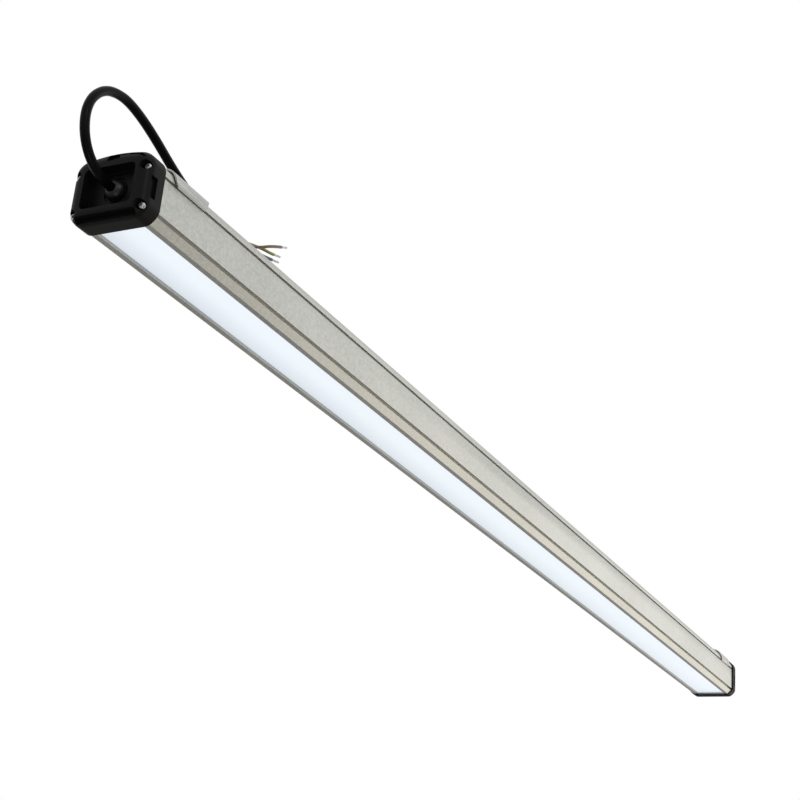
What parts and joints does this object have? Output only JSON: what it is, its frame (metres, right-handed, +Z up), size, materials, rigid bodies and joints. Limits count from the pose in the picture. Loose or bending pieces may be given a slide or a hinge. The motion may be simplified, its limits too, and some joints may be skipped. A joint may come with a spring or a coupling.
{
  "type": "led linear light",
  "caption": "Slim linear ceiling light: aluminium extrusion with an opal diffuser below, black moulded end caps, sheet clips over the top and a looped supply cable with stripped cores.",
  "frame": {"origin": "under the middle of the light, on the plane of the end caps' undersides", "axes": "+X along the light, away from the cable end; +Z up towards the ceiling; +Y across"},
  "size_m": [1.5591, 0.065, 0.1026],
  "materials": {
    "anodised_aluminium": "satin natural anodised",
    "opal_diffuser": "opal, lit from behind",
    "black_moulding": "satin black moulded",
    "silicone": "matt grey",
    "bright_steel": "bright stainless",
    "black_nylon": "satin black moulded",
    "cable_sheath": "satin black sheath",
    "core_brown": "brown insulation",
    "core_earth": "yellow insulation with a green stripe",
    "core_blue": "blue insulation",
    "tinned_copper": "tinned strands",
    "clip_steel": "satin stainless sheet",
    "driver_case": "white lacquer",
    "white_plastic": "plain white",
    "board_white": "white solder mask on aluminium",
    "led_phosphor": "yellow phosphor"
  },
  "bodies": {
    "root": {"housing": "anodised_aluminium", "diffuser": "opal_diffuser", "end_cap_cable": "black_moulding", "end_cap_blank": "black_moulding", "cap_gasket_cable": "silicone", "cap_gasket_blank": "silicone", "gland_seal": "silicone", "cap_screws_cable": "bright_steel", "cap_screws_blank": "bright_steel", "driver_screws": "bright_steel", "board_screws": "bright_steel", "earth_screw": "bright_steel", "gland_body": "black_nylon", "gland_nut": "black_nylon", "gland_locknut": "black_nylon", "supply_cable": "cable_sheath", "core_brown": "core_brown", "inner_core_brown": "core_brown", "core_earth": "core_earth", "inner_core_earth": "core_earth", "core_blue": "core_blue", "inner_core_blue": "core_blue", "core_tips": "tinned_copper", "earth_lug": "tinned_copper", "clip_near": "clip_steel", "clip_far": "clip_steel", "driver": "driver_case", "driver_input": "white_plastic", "driver_output": "white_plastic", "board_connectors": "white_plastic", "led_leads": "white_plastic", "led_board_1": "board_white", "led_board_2": "board_white", "led_board_3": "board_white", "led_packages_1": "led_phosphor", "led_packages_2": "led_phosphor", "led_packages_3": "led_phosphor"}
  },
  "joints": []
}
